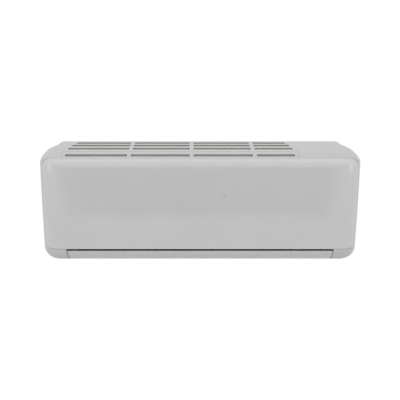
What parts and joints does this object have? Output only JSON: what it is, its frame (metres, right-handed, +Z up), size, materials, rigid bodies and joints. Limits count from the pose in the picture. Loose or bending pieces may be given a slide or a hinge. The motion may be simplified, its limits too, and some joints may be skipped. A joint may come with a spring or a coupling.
{
  "type": "mini split indoor unit",
  "caption": "Wall-hung indoor air conditioner unit with a hinged gloss front panel, a top inlet grille, a drop-down outlet flap, swinging vanes, a cross-flow fan and J-shaped filters.",
  "frame": {"origin": "centre of the wall plate's bolt pattern, on the wall plane", "axes": "+X along the length, to the right for someone facing the unit; +Y into the wall; +Z up"},
  "size_m": [0.8, 0.2, 0.273],
  "materials": {
    "painted_steel": "galvanised sheet, satin",
    "casing_plastic": "fine matte",
    "grille_plastic": "fine matte",
    "panel_plastic": "polished gloss",
    "flap_plastic": "semi gloss",
    "chassis_plastic": "moulded matte",
    "tray_plastic": "matte",
    "vane_plastic": "matte",
    "fan_plastic": "matte",
    "filter_plastic": "matte",
    "filter_net": "fine net",
    "lens_plastic": "translucent gloss",
    "board": "circuit board",
    "components": "mixed",
    "fins": "coated fins",
    "coil_sheet": "galvanised sheet",
    "copper": "copper tube",
    "nut_brass": "machined",
    "shaft_steel": "ground",
    "screw_steel": "zinc plated",
    "bush_bronze": "sintered",
    "black_rubber": "matte",
    "motor_body": "moulded",
    "retainer_plastic": "matte",
    "drain_vinyl": "soft vinyl"
  },
  "bodies": {
    "unit": {"mounting_plate": "painted_steel", "rear_chassis": "chassis_plastic", "front_casing": "casing_plastic", "top_grille": "grille_plastic", "screws": "screw_steel", "screw_caps": "casing_plastic", "wiring_cover": "casing_plastic", "flap_motor": "motor_body", "fan_bush": "bush_bronze", "bush_rubber": "black_rubber", "bush_retainer": "retainer_plastic", "fan_motor": "motor_body", "motor_rubber": "black_rubber", "motor_clamp": "chassis_plastic", "coil_front_lower": "fins", "coil_front_upper": "fins", "coil_rear": "fins", "coil_plate_left": "coil_sheet", "coil_plate_right": "coil_sheet", "return_bends": "copper", "gas_pipe": "copper", "liquid_pipe": "copper", "flare_nuts": "nut_brass", "pipe_holder": "chassis_plastic", "drain_tray": "tray_plastic", "drain_pipe": "drain_vinyl", "drain_plug": "black_rubber", "electrical_box": "chassis_plastic", "electrical_cover": "coil_sheet", "control_board": "board", "board_components": "components", "terminal_block": "components", "terminal_screws": "nut_brass", "button_board": "board"},
    "panel": {"front_panel": "panel_plastic", "panel_liner": "casing_plastic", "receiver_lens": "lens_plastic", "receiver_board": "board"},
    "flap": {"flap": "flap_plastic", "flap_liner": "vane_plastic"},
    "fan": {"fan_rotor": "fan_plastic", "stub_shaft": "shaft_steel", "motor_shaft": "shaft_steel"},
    "filter_left": {"filter_frame_left": "filter_plastic", "filter_mesh_left": "filter_net"},
    "filter_right": {"filter_frame_right": "filter_plastic", "filter_mesh_right": "filter_net"},
    "button": {"test_button": "grille_plastic"},
    "link_left": {"link_bar_left": "vane_plastic"},
    "link_right": {"link_bar_right": "vane_plastic"},
    "vane_1": {"vane_1": "vane_plastic"},
    "vane_2": {"vane_2": "vane_plastic"},
    "vane_3": {"vane_3": "vane_plastic"},
    "vane_4": {"vane_4": "vane_plastic"},
    "vane_5": {"vane_5": "vane_plastic"},
    "vane_6": {"vane_6": "vane_plastic"},
    "vane_7": {"vane_7": "vane_plastic"},
    "vane_8": {"vane_8": "vane_plastic"},
    "vane_9": {"vane_9": "vane_plastic"},
    "vane_10": {"vane_10": "vane_plastic"}
  },
  "joints": [
    {"name": "panel_hinge", "type": "hinge", "parent": "unit", "child": "panel", "pos_m": [0, -0.1815, 0.098], "axis": [-1, 0, 0], "range_deg": [0, 60]},
    {"name": "flap_pivot", "type": "hinge", "parent": "unit", "child": "flap", "pos_m": [0, -0.114, -0.1495], "axis": [1, 0, 0], "range_deg": [0, 70]},
    {"name": "fan_spin", "type": "hinge", "parent": "unit", "child": "fan", "pos_m": [0, -0.092, -0.04], "axis": [1, 0, 0], "continuous": true},
    {"name": "filter_left_lift", "type": "slide", "parent": "unit", "child": "filter_left", "axis": [0, 0, 1], "range_m": [0, 0.008]},
    {"name": "filter_right_lift", "type": "slide", "parent": "unit", "child": "filter_right", "axis": [0, 0, 1], "range_m": [0, 0.008]},
    {"name": "button_press", "type": "slide", "parent": "unit", "child": "button", "axis": [0, 1, 0], "range_m": [0, 0.002], "stiffness_N_per_m": 300},
    {"name": "vane_1_pivot", "type": "hinge", "parent": "unit", "child": "vane_1", "pos_m": [-0.303, -0.15132, -0.09661], "axis": [0, 0.6921, -0.7218], "range_deg": [-35, 35]},
    {"name": "vane_2_pivot", "type": "hinge", "parent": "unit", "child": "vane_2", "pos_m": [-0.247, -0.15132, -0.09661], "axis": [0, 0.6921, -0.7218], "range_deg": [-35, 35]},
    {"name": "vane_3_pivot", "type": "hinge", "parent": "unit", "child": "vane_3", "pos_m": [-0.191, -0.15132, -0.09661], "axis": [0, 0.6921, -0.7218], "range_deg": [-35, 35]},
    {"name": "vane_4_pivot", "type": "hinge", "parent": "unit", "child": "vane_4", "pos_m": [-0.135, -0.15132, -0.09661], "axis": [0, 0.6921, -0.7218], "range_deg": [-35, 35]},
    {"name": "vane_5_pivot", "type": "hinge", "parent": "unit", "child": "vane_5", "pos_m": [-0.079, -0.15132, -0.09661], "axis": [0, 0.6921, -0.7218], "range_deg": [-35, 35]},
    {"name": "link_left_pivot", "type": "hinge", "parent": "vane_1", "child": "link_left", "pos_m": [-0.303, -0.14555, -0.09107], "axis": [0, 0.6921, -0.7218], "range_deg": [-35, 35]},
    {"name": "vane_6_pivot", "type": "hinge", "parent": "unit", "child": "vane_6", "pos_m": [-0.003, -0.15132, -0.09661], "axis": [0, 0.6921, -0.7218], "range_deg": [-35, 35]},
    {"name": "vane_7_pivot", "type": "hinge", "parent": "unit", "child": "vane_7", "pos_m": [0.053, -0.15132, -0.09661], "axis": [0, 0.6921, -0.7218], "range_deg": [-35, 35]},
    {"name": "vane_8_pivot", "type": "hinge", "parent": "unit", "child": "vane_8", "pos_m": [0.109, -0.15132, -0.09661], "axis": [0, 0.6921, -0.7218], "range_deg": [-35, 35]},
    {"name": "vane_9_pivot", "type": "hinge", "parent": "unit", "child": "vane_9", "pos_m": [0.165, -0.15132, -0.09661], "axis": [0, 0.6921, -0.7218], "range_deg": [-35, 35]},
    {"name": "vane_10_pivot", "type": "hinge", "parent": "unit", "child": "vane_10", "pos_m": [0.221, -0.15132, -0.09661], "axis": [0, 0.6921, -0.7218], "range_deg": [-35, 35]},
    {"name": "link_right_pivot", "type": "hinge", "parent": "vane_6", "child": "link_right", "pos_m": [-0.003, -0.14555, -0.09107], "axis": [0, 0.6921, -0.7218], "range_deg": [-35, 35]}
  ],
  "couplings": [
    {"joint": "vane_2_pivot", "follows": "vane_1_pivot", "ratio": 1},
    {"joint": "vane_3_pivot", "follows": "vane_1_pivot", "ratio": 1},
    {"joint": "vane_4_pivot", "follows": "vane_1_pivot", "ratio": 1},
    {"joint": "vane_5_pivot", "follows": "vane_1_pivot", "ratio": 1},
    {"joint": "link_left_pivot", "follows": "vane_1_pivot", "ratio": -1},
    {"joint": "vane_7_pivot", "follows": "vane_6_pivot", "ratio": 1},
    {"joint": "vane_8_pivot", "follows": "vane_6_pivot", "ratio": 1},
    {"joint": "vane_9_pivot", "follows": "vane_6_pivot", "ratio": 1},
    {"joint": "vane_10_pivot", "follows": "vane_6_pivot", "ratio": 1},
    {"joint": "link_right_pivot", "follows": "vane_6_pivot", "ratio": -1}
  ]
}
